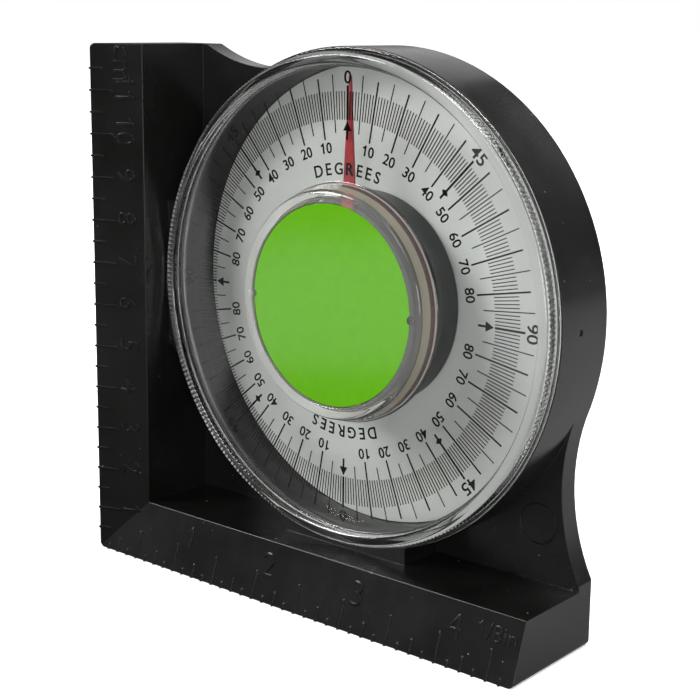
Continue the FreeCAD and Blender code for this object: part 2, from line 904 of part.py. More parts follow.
def make_needle():
    """A flat tapering pointer with an eye round the shaft."""
    body = pivot_body("needle")
    eye = front_sketch(body, "needle_eye", needle_front)
    circle(eye, ZERO, ZERO, hub_radius)
    extrude(body, eye, "Pad", s.needle_thickness, against=True)
    blade = front_sketch(body, "needle_blade", needle_front)
    root, tip = s.needle_root_width / 2, s.needle_tip_width / 2
    length = lip_inner - s.needle_margin
    corners = [
        (-root, ZERO),
        (root, ZERO),
        (root, recess_radius),
        (tip, length - tip * 2),
        (ZERO, length),
        (-tip, length - tip * 2),
        (-root, recess_radius),
    ]
    outline(blade, corners)
    extrude(body, blade, "Pad", s.needle_thickness, against=True)
    hole = front_sketch(body, "needle_hole", needle_front)
    circle(hole, ZERO, ZERO, shaft_hole)
    extrude(body, hole, "Pocket", s.needle_thickness, against=True)
    return body


def make_collar():
    """A push-on collar that clamps the needle to the drum."""
    body = pivot_body("needle_collar")
    front, radius = needle_front - s.collar_length, shaft_hole + s.collar_wall
    corners = [
        (shaft_hole, front),
        (radius, front),
        (radius, needle_front),
        (shaft_hole, needle_front),
    ]
    turned_profile(body, "collar_profile", corners)
    return body


def rivet_places():
    """Sideways and upward places of the rivets, both sides of the drum's lowest point."""
    angle = math.radians(s.rivet_spread.number / 2)
    radius = (weight_inner + weight_outer) / 2
    across, down = radius * math.sin(angle), radius * math.cos(angle)
    return [(-across, -down), (across, -down)]


def make_drum():
    """A moulded cup, open to the back, with a hub on the shaft and room for the weight."""
    body = pivot_body("weight_drum")
    hub_back = post_front - s.hub_gap
    corners = [
        (shaft_hole, needle_back),
        (s.drum_radius, needle_back),
        (s.drum_radius, drum_back),
        (drum_bore, drum_back),
        (drum_bore, weight_front),
        (hub_radius, weight_front),
        (hub_radius, hub_back),
        (shaft_hole, hub_back),
    ]
    turned_profile(body, "drum_profile", corners)
    holes = front_sketch(body, "drum_rivet_holes", weight_front)
    for x, z in rivet_places():
        circle(holes, x, z, s.rivet_radius + s.seat_gap)
    extrude(body, holes, "Pocket", rivet_grip + s.seat_gap)
    rim = (s.drum_radius, needle_back)
    round_edges(body, "drum_edge", s.drum_round, lambda edge: is_circle(edge, *rim))
    return body


def make_counterweight():
    """A part ring of steel that fills the lower half of the drum and keeps the needle upright."""
    body = pivot_body("counterweight")
    sketch = new_sketch(body, "weight_profile", "YZ_Plane")
    rectangle(sketch, weight_front, -weight_outer, weight_back, -weight_inner)
    turn(body, sketch, angle=s.weight_angle, axis="H_Axis")
    holes = front_sketch(body, "weight_rivet_holes", weight_front)
    for x, z in rivet_places():
        circle(holes, x, z, s.rivet_radius + s.seat_gap)
    extrude(body, holes, "Pocket", weight_back - weight_front, against=True)
    return body


def make_rivets():
    """Two rivets through the weight into the drum's wall."""
    body = pivot_body("weight_rivets")
    body.AllowCompound = True
    front = weight_front - rivet_grip
    shanks = front_sketch(body, "rivet_shanks", front)
    heads = front_sketch(body, "rivet_heads", weight_back)
    for x, z in rivet_places():
        circle(shanks, x, z, s.rivet_radius)
        circle(heads, x, z, s.rivet_radius + s.rivet_lap)
    extrude(body, shanks, "Pad", weight_back - front, against=True)
    extrude(body, heads, "Pad", s.rivet_head, against=True)
    return body


# Assembly

def make_pieces():
    second_magnet = s.magnet_margin + magnet_pitch
    return [
        make_frame(),
        make_magnet("left_magnet", s.magnet_margin),
        make_magnet("right_magnet", second_magnet),
        make_pole_plates("left_pole_plates", s.magnet_margin),
        make_pole_plates("right_pole_plates", second_magnet),
        make_dial_plate(),
        make_lens(),
        make_centre_label(),
        *make_scale(),
        make_front_bearing(),
        make_rear_bearing(),
        make_shaft(),
        make_needle(),
        make_collar(),
        make_drum(),
        make_counterweight(),
        make_rivets(),
    ]


def check(pieces):
    """Stop on any failed object, or on a piece whose shape is missing or unsound."""
    for thing in doc.Objects:
        for state in ("Invalid", "Error"):
            if state in thing.State:
                raise RuntimeError(f"{thing.Name} is {state}")
    for piece in pieces:
        if piece.Shape.isNull() or not piece.Shape.isValid():
            raise RuntimeError(f"{piece.Label} has no sound shape")


def write(pieces):
    os.makedirs("parts", exist_ok=True)
    for piece in pieces:
        piece.Shape.exportStep(f"parts/{piece.Label}.step")
        box = piece.Shape.optimalBoundingBox(False)
        low = f"{box.XMin:.2f} {box.YMin:.2f} {box.ZMin:.2f}"
        high = f"{box.XMax:.2f} {box.YMax:.2f} {box.ZMax:.2f}"
        solids = len(piece.Shape.Solids)
        print(f"{piece.Label}: {solids} solids, {piece.Shape.Volume:.1f} mm3, {low} to {high}")


pieces = make_pieces()
doc.recompute()
check(pieces)
write(pieces)
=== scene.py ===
# %% [markdown]
# An angle finder is a black moulded body with two ruled edges, and a round dial in a cup. Behind a clear
# lens a weighted red needle always points up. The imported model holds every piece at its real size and
# place. This lesson gives each piece its finish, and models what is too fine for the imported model: the
# lens with its ribbed lip, the numbers on the dial, and the raised numbers on the edges.

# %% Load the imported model
import math

import bmesh
import bpy
from mathutils import Euler, Matrix, Quaternion, Vector


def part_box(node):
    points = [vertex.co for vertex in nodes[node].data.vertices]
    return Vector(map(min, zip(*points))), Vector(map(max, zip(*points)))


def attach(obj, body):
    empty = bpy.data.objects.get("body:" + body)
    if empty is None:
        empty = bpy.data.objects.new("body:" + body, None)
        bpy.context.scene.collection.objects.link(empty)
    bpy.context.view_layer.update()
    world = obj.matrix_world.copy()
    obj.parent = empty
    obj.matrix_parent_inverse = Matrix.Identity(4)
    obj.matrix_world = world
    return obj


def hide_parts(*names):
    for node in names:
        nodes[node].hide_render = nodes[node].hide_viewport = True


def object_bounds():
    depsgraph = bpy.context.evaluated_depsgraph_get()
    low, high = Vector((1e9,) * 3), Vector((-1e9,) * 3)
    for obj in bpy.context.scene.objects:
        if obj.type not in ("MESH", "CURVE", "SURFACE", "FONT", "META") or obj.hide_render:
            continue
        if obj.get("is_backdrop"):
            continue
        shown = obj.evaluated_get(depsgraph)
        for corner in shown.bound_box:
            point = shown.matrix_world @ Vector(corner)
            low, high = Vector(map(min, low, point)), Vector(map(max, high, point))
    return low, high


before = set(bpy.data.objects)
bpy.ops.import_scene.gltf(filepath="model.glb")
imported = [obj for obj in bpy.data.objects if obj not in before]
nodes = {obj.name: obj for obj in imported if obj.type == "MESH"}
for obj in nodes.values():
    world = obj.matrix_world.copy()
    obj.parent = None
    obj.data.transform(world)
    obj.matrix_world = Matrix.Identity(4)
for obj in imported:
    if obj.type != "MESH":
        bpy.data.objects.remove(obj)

cad_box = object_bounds()
print("nodes:", sorted(nodes))

# %% [markdown]
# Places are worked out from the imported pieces, so that everything added here sits on what carries it. The
# dial plate gives the pivot, the printed marks give the back of the window, and the body gives its own
# corner. Sizes are in millimetres, as a maker would write them, and MM turns them into metres.

# %% Places
MM = 0.001
PRINT_DEPTH = 12.2

body_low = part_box("frame")[0]
mark_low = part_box("ten_degree_marks")[0]
dial_low, dial_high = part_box("dial_plate")
pivot_x = (dial_low.x + dial_high.x) / 2
pivot_z = (dial_low.z + dial_high.z) / 2
front_y = mark_low.y - PRINT_DEPTH * MM
pivot = Vector((pivot_x, front_y, pivot_z))


def body_place(x, depth, z):
    """A place on the body in millimetres from its lower left front corner, as a place in the scene."""
    return Vector((body_low.x + x * MM, front_y + depth * MM, z * MM))


def dial_place(radius, depth, degrees=90):
    """A place round the pivot. Degrees run clockwise from the top of the dial, seen from the front."""
    turn = math.radians(degrees)
    x = pivot_x + radius * MM * math.sin(turn)
    return Vector((x, front_y + depth * MM, pivot_z + radius * MM * math.cos(turn)))


print("pivot:", round(pivot_x / MM, 2), round(pivot_z / MM, 2), "front:", round(front_y / MM, 2))

# %% [markdown]
# The camera stands to the right of the object and a little above its middle, and looks down on it
# slightly. A long lens from a third of a metre keeps the dial nearly round. The small shift puts the
# object in the middle of the picture without turning the camera away from it.

# %% Camera
CAMERA_PLACE = Vector((0.206886, -0.238403, 0.127591))
CAMERA_AIM = Vector((0.012985, 0, 0.067450))
CAMERA_ROLL = 0.832
CAMERA_LENS = 76.23
CAMERA_SENSOR = 36
CAMERA_SHIFT = (-0.0357, -0.0629)
CAMERA_NEAR = 0.01

camera = bpy.data.objects.new("camera", bpy.data.cameras.new("camera"))
bpy.context.scene.collection.objects.link(camera)
camera.data.sensor_width = CAMERA_SENSOR
camera.data.lens = CAMERA_LENS
camera.data.shift_x, camera.data.shift_y = CAMERA_SHIFT
camera.data.clip_start = CAMERA_NEAR
camera.location = CAMERA_PLACE
look = (CAMERA_AIM - CAMERA_PLACE).to_track_quat("-Z", "Y")
camera.rotation_mode = "QUATERNION"
camera.rotation_quaternion = look @ Quaternion((0, 0, 1), math.radians(CAMERA_ROLL))
bpy.context.scene.camera = camera
print("camera is", round((CAMERA_AIM - CAMERA_PLACE).length, 3), "m from what it looks at")

# %% [markdown]
# Materials are made of nodes. A few small helpers keep them readable: one adds a node and sets its
# sockets, one does arithmetic, and one starts a material from the Principled shader. A socket that gets a
# number is set, and a socket that gets another socket is linked.

# %% Node helpers
def feed(tree, target, value):
    """Set a socket to a number or colour, or link another socket to it."""
    if isinstance(value, bpy.types.NodeSocket):
        tree.links.new(value, target)
    else:
        target.default_value = value


def add_node(tree, kind, inputs=(), **settings):
    """Add a shader node. inputs are pairs of a socket's name or number and its value."""
    added = tree.nodes.new("ShaderNode" + kind)
    for name, value in settings.items():
        setattr(added, name, value)
    for socket, value in inputs:
        feed(tree, added.inputs[socket], value)
    return added


def maths(tree, operation, first, second=0.0):
    """The result of a Math node."""
    return add_node(tree, "Math", [(0, first), (1, second)], operation=operation).outputs[0]


def fade(tree, value, start, end, low=0.0, high=1.0):
    """A value mapped smoothly from start and end to low and high."""
    pairs = [("Value", value), ("From Min", start), ("From Max", end), ("To Min", low), ("To Max", high)]
    return add_node(tree, "MapRange", pairs, interpolation_type="SMOOTHSTEP").outputs["Result"]


def noise(tree, vector, scale, detail=2.0, roughness=0.5):
    """The height of a noise pattern, about a half in the middle. The scale is in patches to a metre."""
    pairs = [("Vector", vector), ("Scale", scale), ("Detail", detail), ("Roughness", roughness)]
    return add_node(tree, "TexNoise", pairs).outputs["Fac"]


def spread(tree, pattern, low=0.0, high=1.0, start=0.3, end=0.7):
    """A noise pattern, which stays near a half, spread over the whole way from low to high."""
    return fade(tree, pattern, start, end, low, high)


def blend_colours(tree, share, first, second):
    """Two colours mixed by a share."""
    pairs = [("Factor", share), (6, first), (7, second)]
    return add_node(tree, "Mix", pairs, data_type="RGBA").outputs[2]


def add_colours(tree, first, second):
    """The sum of two colours."""
    pairs = [("Factor", 1.0), (6, first), (7, second)]
    return add_node(tree, "Mix", pairs, data_type="RGBA", blend_type="ADD").outputs[2]


def grey(tree, tone):
    """A grey of one tone."""
    return add_node(tree, "CombineColor", [("Red", tone), ("Green", tone), ("Blue", tone)]).outputs[0]


def bump(tree, height, strength, distance, normal=None):
    """A normal tilted by a height pattern. The distance is in millimetres."""
    pairs = [("Height", height), ("Strength", strength), ("Distance", distance * MM)]
    if normal is not None:
        pairs.append(("Normal", normal))
    return add_node(tree, "Bump", pairs).outputs["Normal"]


def object_vector(tree):
    """Each point's place in the scene, because every piece's own origin is the scene's."""
    return add_node(tree, "TexCoord").outputs["Object"]


def axis_radius(tree, where):
    """The distance from the pivot's axis as a socket, in metres."""
    apart = add_node(tree, "SeparateXYZ", [("Vector", where)])
    across = maths(tree, "SUBTRACT", apart.outputs["X"], pivot_x)
    up = maths(tree, "SUBTRACT", apart.outputs["Z"], pivot_z)
    flat = add_node(tree, "CombineXYZ", [("X", across), ("Y", up)]).outputs[0]
    return add_node(tree, "VectorMath", [(0, flat)], operation="LENGTH").outputs["Value"]


def new_material(name):
    """A material with its Principled shader ready."""
    material = bpy.data.materials.new(name)
    material.use_nodes = True
    return material, material.node_tree, material.node_tree.nodes["Principled BSDF"]


def dress(names, material):
    """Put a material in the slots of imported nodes."""
    for name in names:
        for slot in nodes[name].material_slots:
            slot.material = material
    print(material.name, "on", ", ".join(names))


# %% [markdown]
# Three effects come back in several finishes, so each is a node group. Dust is a scatter of pale specks
# in a cell pattern, where only some cells hold one. Mottle is the slow unevenness of a moulded or painted
# skin. Turning marks are the rings that a lathe leaves round the axis of a turned piece.

# %% Shared effects
def new_group(name, inputs, outputs):
    """A node group with named number or vector sockets, and its tree's two ends."""
    group = bpy.data.node_groups.new(name, "ShaderNodeTree")
    for label, kind, value in inputs:
        socket = group.interface.new_socket(label, in_out="INPUT", socket_type="NodeSocket" + kind)
        if kind == "Float":
            socket.default_value = value
    for label, kind in outputs:
        group.interface.new_socket(label, in_out="OUTPUT", socket_type="NodeSocket" + kind)
    start = group.nodes.new("NodeGroupInput")
    end = group.nodes.new("NodeGroupOutput")
    return group, start, end


def make_dust():
    """Pale specks: cells of a Voronoi pattern, most of them empty."""
    inputs = [("Vector", "Vector", None), ("Scale", "Float", 900.0)]
    inputs += [("Size", "Float", 0.1), ("Share", "Float", 0.1)]
    group, start, end = new_group("dust", inputs, [("Mask", "Float")])
    pairs = [("Vector", start.outputs["Vector"]), ("Scale", start.outputs["Scale"])]
    cells = add_node(group, "TexVoronoi", pairs)
    pairs = [("Value", cells.outputs["Distance"]), ("From Min", start.outputs["Size"]), ("From Max", 0.0)]
    near = add_node(group, "MapRange", pairs)
    chance = add_node(group, "SeparateColor", [("Color", cells.outputs["Color"])]).outputs["Red"]
    kept = maths(group, "LESS_THAN", chance, start.outputs["Share"])
    group.links.new(maths(group, "MULTIPLY", near.outputs["Result"], kept), end.inputs["Mask"])
    return group


def make_mottle():
    """Slow unevenness with a little of a finer one in it."""
    inputs = [("Vector", "Vector", None), ("Scale", "Float", 60.0)]
    inputs += [("Low", "Float", 0.2), ("High", "Float", 0.4)]
    group, start, end = new_group("mottle", inputs, [("Value", "Float")])
    broad = noise(group, start.outputs["Vector"], start.outputs["Scale"], detail=4.0, roughness=0.6)
    pairs = [("Value", broad), ("From Min", 0.3), ("From Max", 0.7)]
    pairs += [("To Min", start.outputs["Low"]), ("To Max", start.outputs["High"])]
    result = add_node(group, "MapRange", pairs).outputs["Result"]
    group.links.new(result, end.inputs["Value"])
    return group


def make_turning_marks():
    """Rings round the pivot: a noise that only follows the distance from the axis and the depth."""
    inputs = [("Vector", "Vector", None), ("Scale", "Float", 2000.0)]
    group, start, end = new_group("turning_marks", inputs, [("Height", "Float")])
    apart = add_node(group, "SeparateXYZ", [("Vector", start.outputs["Vector"])])
    radius = axis_radius(group, start.outputs["Vector"])
    along = add_node(group, "CombineXYZ", [("X", radius), ("Y", apart.outputs["Y"])])
    rings = noise(group, along.outputs[0], start.outputs["Scale"], detail=3.0)
    group.links.new(rings, end.inputs["Height"])
    return group


dust_group = make_dust()
mottle_group = make_mottle()
turning_group = make_turning_marks()
print("shared effects:", [group.name for group in bpy.data.node_groups])

# %% [markdown]
# A group is placed in each material with that material's own values. One short function for each of the
# three does that, so that a material reads as a list of what its surface has.

# %% Placing the effects
def use_group(tree, group, inputs):
    """Place a group in a material and give its one output."""
    placed = tree.nodes.new("ShaderNodeGroup")
    placed.node_tree = group
    for name, value in inputs:
        feed(tree, placed.inputs[name], value)
    return placed.outputs[0]


def dust(tree, where, scale, size, share):
    values = [("Vector", where), ("Scale", scale), ("Size", size), ("Share", share)]
    return use_group(tree, dust_group, values)


def mottle(tree, where, scale, low, high):
    return use_group(tree, mottle_group, [("Vector", where), ("Scale", scale), ("Low", low), ("High", high)])


def turning_marks(tree, where, scale):
    return use_group(tree, turning_group, [("Vector", where), ("Scale", scale)])


# %% [markdown]
# The body is black moulded plastic with a soft gloss. Its colour is almost nothing, so what the eye sees
# are reflections: the pale table in the end face and dark room in the top. Its skin is a little uneven,
# its corners are slightly round, and dust lies most on the faces that look up. Inside the cup, behind the
# lens, it is glossier and clean. The Bevel node rounds the normals at the corners, which catches the thin
# lines of light that every moulded corner has.

# %% Black moulded plastic
CUP_RADIUS = 52.6
CUP_EDGE = 0.1
INSIDE_SHARE = 0.4
SIDE_DUST_SHARE = 0.6
HAZE = 0.006
BLACK = (0.003, 0.0031, 0.0027, 1)
BLACK_SPECULAR = 0.42
DUST_GREY = (0.4, 0.4, 0.37, 1)
CORNER_ROUND = 0.22
CORNER_SAMPLES = 6


def make_black_plastic():
    material, tree, shader = new_material("black_plastic")
    where = object_vector(tree)
    outside = fade(tree, axis_radius(tree, where), (CUP_RADIUS - CUP_EDGE) * MM, CUP_RADIUS * MM)
    skin_gloss = mottle(tree, where, scale=45.0, low=0.16, high=0.3)
    inside_gloss = fade(tree, outside, 0.0, 1.0, low=INSIDE_SHARE)
    feed(tree, shader.inputs["Roughness"], maths(tree, "MULTIPLY", skin_gloss, inside_gloss))
    specks = dust(tree, where, scale=620.0, size=0.15, share=0.05)
    lint = dust(tree, where, scale=260.0, size=0.07, share=0.09)
    facing = add_node(tree, "SeparateXYZ", [("Vector", add_node(tree, "NewGeometry").outputs["Normal"])])
    upward = fade(tree, facing.outputs["Z"], 0.0, 0.9, low=SIDE_DUST_SHARE)
    loose = maths(tree, "MULTIPLY", maths(tree, "MAXIMUM", specks, lint), outside)
    dusty = maths(tree, "MULTIPLY", loose, upward)
    cloud = maths(tree, "MULTIPLY", noise(tree, where, scale=90.0, detail=5.0, roughness=0.65), HAZE)
    haze = maths(tree, "MULTIPLY", cloud, outside)
    skin_colour = add_colours(tree, BLACK, grey(tree, haze))
    feed(tree, shader.inputs["Base Color"], blend_colours(tree, dusty, skin_colour, DUST_GREY))
    shader.inputs["Specular IOR Level"].default_value = BLACK_SPECULAR
    rounded = add_node(tree, "Bevel", [("Radius", CORNER_ROUND * MM)], samples=CORNER_SAMPLES)
    corners = rounded.outputs["Normal"]
    skin = bump(tree, noise(tree, where, scale=700.0), strength=0.05, distance=0.02, normal=corners)
    feed(tree, shader.inputs["Normal"], bump(tree, dusty, strength=0.5, distance=0.05, normal=skin))
    return material


black_plastic = make_black_plastic()
dress(["frame"], black_plastic)

# %% [markdown]
# The lens is clear moulded plastic: a Principled shader with full transmission. Light from the lamps has
# to reach the dial behind it, and a ray tracer treats clear plastic as solid for shadows, so a Light Path
# node lets shadow rays through. A slight waviness and a faint haze in the roughness keep it from looking
# like empty air.

# %% Clear plastic
PLASTIC_IOR = 1.49
CLEAR_TINT = (0.985, 0.99, 0.985, 1)
SHADOW_TINT = (0.93, 0.94, 0.93, 1)


def let_light_through(tree, shader):
    """Let shadow rays pass straight through a clear finish, a little dimmed."""
    clear = add_node(tree, "BsdfTransparent", [("Color", SHADOW_TINT)])
    path = add_node(tree, "LightPath")
    pairs = [(0, path.outputs["Is Shadow Ray"]), (1, shader.outputs[0]), (2, clear.outputs[0])]
    mix = add_node(tree, "MixShader", pairs)
    feed(tree, tree.nodes["Material Output"].inputs["Surface"], mix.outputs[0])


def make_clear_plastic():
    material, tree, shader = new_material("clear_plastic")
    where = object_vector(tree)
    shader.inputs["Base Color"].default_value = CLEAR_TINT
    shader.inputs["Transmission Weight"].default_value = 1.0
    shader.inputs["IOR"].default_value = PLASTIC_IOR
    feed(tree, shader.inputs["Roughness"], mottle(tree, where, scale=70.0, low=0.0, high=0.012))
    waves = noise(tree, where, scale=140.0)
    feed(tree, shader.inputs["Normal"], bump(tree, waves, strength=0.03, distance=0.02))
    let_light_through(tree, shader)
    return material


clear_plastic = make_clear_plastic()
print("made", clear_plastic.name)

# %% [markdown]
# The raised boss in the middle of the lens is thick, so it glows a little where it gathers light. Its rim
# is pale: the satin's own milky tint with a painted glow in it. Down its side the colour is painted: a khaki
# band of painted refraction for the inside of the boss seen through it, a dark line of painted refraction
# where the hub of the red needle shines through, and a pale line of painted highlight at its foot. Real
# plastic does that by bending light many times. Here the side is partly clear, and its painted colour
# changes with the depth behind the front, which gives the same bands at every sample count.

# %% Satin plastic
# The rim tint is the plastic's milky colour with a painted glow. The wall and hub tints are painted
# refraction, and the foot tint is a painted highlight that the turning rings also lighten towards.
RIM_TINT_WITH_PAINTED_GLOW = (0.9, 0.9, 0.86, 1)
WALL_PAINTED_REFRACTION = (0.6, 0.56, 0.43, 1)
HUB_PAINTED_REFRACTION = (0.07, 0.01, 0.01, 1)
FOOT_PAINTED_HIGHLIGHT_AND_RING_TONE = (0.8, 0.75, 0.7, 1)
WALL_BAND = (5.9, 6.4)
HUB_BAND = (8.2, 8.5)
FOOT_BAND = (9.3, 9.6)
RIM_CLEARNESS = 0.9
WALL_CLEARNESS = 0.62


def make_satin_plastic(name, clearness):
    material, tree, shader = new_material(name)
    where = object_vector(tree)
    along = add_node(tree, "SeparateXYZ", [("Vector", where)]).outputs["Y"]
    depth = maths(tree, "DIVIDE", maths(tree, "SUBTRACT", along, front_y), MM)
    rings = turning_marks(tree, where, scale=900.0)
    tint = RIM_TINT_WITH_PAINTED_GLOW
    # Painted bands by depth: painted refraction down the wall and at the hub, and a painted highlight at the
    # foot.
    for band, next_tint in ((WALL_BAND, WALL_PAINTED_REFRACTION), (HUB_BAND, HUB_PAINTED_REFRACTION), (FOOT_BAND, FOOT_PAINTED_HIGHLIGHT_AND_RING_TONE)):
        tint = blend_colours(tree, fade(tree, depth, *band), tint, next_tint)
    shade = spread(tree, rings, high=0.25)
    feed(tree, shader.inputs["Base Color"], blend_colours(tree, shade, tint, FOOT_PAINTED_HIGHLIGHT_AND_RING_TONE))
    shader.inputs["Transmission Weight"].default_value = clearness
    shader.inputs["IOR"].default_value = PLASTIC_IOR
    feed(tree, shader.inputs["Roughness"], spread(tree, rings, 0.03, 0.1))
    let_light_through(tree, shader)
    return material


satin_rim = make_satin_plastic("satin_rim", RIM_CLEARNESS)
satin_wall = make_satin_plastic("satin_wall", WALL_CLEARNESS)
print("made", satin_rim.name, "and", satin_wall.name)

# %% [markdown]
# The dial plate is thin metal with a satin silver skin. It spreads light softly, so it is a pale grey
# with only a little metal in it, a rough gloss and the faintest grain. Nothing touches it behind the
# lens, so it has no scratches.

# %% Silver dial
SILVER = (0.6, 0.612, 0.595, 1)
SILVER_METALLIC = 0.15
SILVER_UNEVENNESS = 0.04


def make_silver_dial():
    material, tree, shader = new_material("silver_dial")
    where = object_vector(tree)
    grain = noise(tree, where, scale=2600.0)
    cloud = noise(tree, where, scale=30.0, detail=3.0)
    fine_tone = maths(tree, "MULTIPLY", grain, SILVER_UNEVENNESS)
    broad_tone = maths(tree, "MULTIPLY", cloud, SILVER_UNEVENNESS)
    tone = maths(tree, "ADD", fine_tone, broad_tone)
    feed(tree, shader.inputs["Base Color"], add_colours(tree, SILVER, grey(tree, tone)))
    shader.inputs["Metallic"].default_value = SILVER_METALLIC
    feed(tree, shader.inputs["Roughness"], mottle(tree, where, scale=200.0, low=0.42, high=0.5))
    feed(tree, shader.inputs["Normal"], bump(tree, grain, strength=0.1, distance=0.01))
    return material


dress(["dial_plate"], make_silver_dial())

# %% [markdown]
# The middle of the lens holds a printed disc in bright green. Print on plastic film is glossy, and its
# colour is very even, with only a breath of unevenness in the ink.

# %% Green label
GREENS = ((0.098, 0.352, 0.001, 1), (0.082, 0.296, 0.001, 1))


def make_green_label():
    material, tree, shader = new_material("green_label")
    where = object_vector(tree)
    shade = spread(tree, noise(tree, where, scale=400.0, detail=3.0), high=0.25)
    feed(tree, shader.inputs["Base Color"], blend_colours(tree, shade, *GREENS))
    feed(tree, shader.inputs["Roughness"], mottle(tree, where, scale=120.0, low=0.08, high=0.16))
    film = noise(tree, where, scale=500.0)
    feed(tree, shader.inputs["Normal"], bump(tree, film, strength=0.1, distance=0.01))
    return material


dress(["centre_label"], make_green_label())

# %% [markdown]
# The scale is black ink on the back of the window. Ink is never quite black, and its cover varies a
# little, so a fine noise moves its colour and its gloss.

# %% Black ink
INKS = ((0.0015, 0.0015, 0.002, 1), (0.006, 0.006, 0.006, 1))
MARKS = ["quadrant_marks", "ten_degree_marks", "five_degree_marks", "one_degree_marks"]


def make_black_ink():
    material, tree, shader = new_material("black_ink")
    where = object_vector(tree)
    cover = noise(tree, where, scale=3500.0)
    feed(tree, shader.inputs["Base Color"], blend_colours(tree, spread(tree, cover), *INKS))
    feed(tree, shader.inputs["Roughness"], spread(tree, cover, 0.35, 0.55))
    shader.inputs["Specular IOR Level"].default_value = 0.0
    return material


black_ink = make_black_ink()
dress(MARKS, black_ink)

# %% [markdown]
# The needle is sprayed red on thin metal. Spray leaves a fine orange peel and a slightly uneven colour.
# The drum behind it is dark grey plastic with the rings that its mould was turned with.

# %% Red paint and grey plastic
REDS = ((0.34, 0.032, 0.034, 1), (0.28, 0.024, 0.026, 1))
DARK_GREYS = ((0.007, 0.008, 0.0085, 1), (0.03, 0.032, 0.033, 1))


def make_red_paint():
    material, tree, shader = new_material("red_paint")
    where = object_vector(tree)
    shade = spread(tree, noise(tree, where, scale=700.0, detail=3.0))
    feed(tree, shader.inputs["Base Color"], blend_colours(tree, shade, *REDS))
    feed(tree, shader.inputs["Roughness"], spread(tree, noise(tree, where, scale=300.0), 0.3, 0.42))
    peel = noise(tree, where, scale=2200.0)
    feed(tree, shader.inputs["Normal"], bump(tree, peel, strength=0.2, distance=0.01))
    return material


def make_grey_plastic():
    material, tree, shader = new_material("grey_plastic")
    rings = turning_marks(tree, object_vector(tree), scale=1800.0)
    feed(tree, shader.inputs["Base Color"], blend_colours(tree, spread(tree, rings), *DARK_GREYS))
    feed(tree, shader.inputs["Roughness"], spread(tree, rings, 0.36, 0.5))
    feed(tree, shader.inputs["Normal"], bump(tree, rings, strength=0.3, distance=0.02))
    return material


dress(["needle"], make_red_paint())
dress(["weight_drum"], make_grey_plastic())

# %% [markdown]
# The small metal pieces are turned or cut: a brass collar and bearings, a polished steel shaft, brass
# rivets, a steel weight, plated pole plates. One function makes them all from two colours, a range of
# roughness and how deep their turning marks are. The magnets are ferrite, a dark grey ceramic with a
# coarse grain.

# %% Metals and ferrite
BRASSES = ((0.78, 0.56, 0.24, 1), (0.55, 0.36, 0.14, 1))
STEELS = ((0.62, 0.62, 0.62, 1), (0.5, 0.5, 0.5, 1))
PLATINGS = ((0.6, 0.6, 0.58, 1), (0.38, 0.36, 0.33, 1))
FERRITES = ((0.018, 0.018, 0.02, 1), (0.05, 0.05, 0.054, 1))


def make_metal(name, colours, roughness, strength):
    material, tree, shader = new_material(name)
    where = object_vector(tree)
    rings = turning_marks(tree, where, scale=5000.0)
    stain = spread(tree, noise(tree, where, scale=250.0, detail=4.0, roughness=0.6), start=0.35)
    feed(tree, shader.inputs["Base Color"], blend_colours(tree, stain, *colours))
    shader.inputs["Metallic"].default_value = 1.0
    feed(tree, shader.inputs["Roughness"], spread(tree, rings, *roughness, start=0.25, end=0.75))
    feed(tree, shader.inputs["Normal"], bump(tree, rings, strength, distance=0.01))
    return material


def make_ferrite():
    material, tree, shader = new_material("ferrite")
    grain = noise(tree, object_vector(tree), scale=1800.0, detail=4.0, roughness=0.7)
    shade = spread(tree, grain, start=0.35, end=0.65)
    feed(tree, shader.inputs["Base Color"], blend_colours(tree, shade, *FERRITES))
    feed(tree, shader.inputs["Roughness"], spread(tree, grain, 0.5, 0.75))
    feed(tree, shader.inputs["Normal"], bump(tree, grain, strength=0.4, distance=0.03))
    return material


brass = make_metal("brass", BRASSES, (0.2, 0.35), 0.2)
polished_steel = make_metal("polished_steel", STEELS, (0.12, 0.25), 0.15)
plated_steel = make_metal("plated_steel", PLATINGS, (0.25, 0.42), 0.1)
dress(["front_bearing", "rear_bearing", "needle_collar", "weight_rivets"], brass)
dress(["pivot_shaft"], polished_steel)
dress(["counterweight", "left_pole_plates", "right_pole_plates"], plated_steel)
dress(["left_magnet", "right_magnet"], make_ferrite())

# %% [markdown]
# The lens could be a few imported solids, but clear plastic shows every facet, so it is turned here as one
# smooth piece. A turned piece starts as a profile: one vertex is extruded from corner to corner, each
# corner is rounded by a bevel, and Spin carries the profile round the pivot's axis. The corners are given
# as radius and depth behind the front, with how much each is rounded. The wall is already in the profile,
# front and back.

# %% Modelling helpers
SMOOTH_BELOW = math.radians(35)
SEAM_GAP = 0.002
POINT_GAP = 0.001


def deselect():
    bpy.ops.object.select_all(action="DESELECT")


def apply_place():
    """Leave the active piece's place, turn and scale in its mesh."""
    bpy.ops.object.transform_apply(location=True, rotation=True, scale=True)


def smooth():
    """Shade the active piece smooth, apart from its sharp corners."""
    bpy.ops.object.shade_smooth_by_angle(angle=SMOOTH_BELOW)


def close_surface(gap):
    """In edit mode, merge points that coincide and turn every face outwards."""
    bpy.ops.mesh.select_all(action="SELECT")
    bpy.ops.mesh.remove_doubles(threshold=gap * MM)
    bpy.ops.mesh.normals_make_consistent(inside=False)


def select_points(piece, test):
    """In edit mode, select the vertices whose place passes a test."""
    bpy.ops.mesh.select_mode(type="VERT")
    bpy.ops.mesh.select_all(action="DESELECT")
    mesh = bmesh.from_edit_mesh(piece.data)
    for vertex in mesh.verts:
        if test(vertex.co):
            vertex.select_set(True)
    bmesh.update_edit_mesh(piece.data)


def axis_distance(place):
    """How far a place is from the pivot's axis, in millimetres."""
    return math.hypot(place.x - pivot_x, place.z - pivot_z) / MM


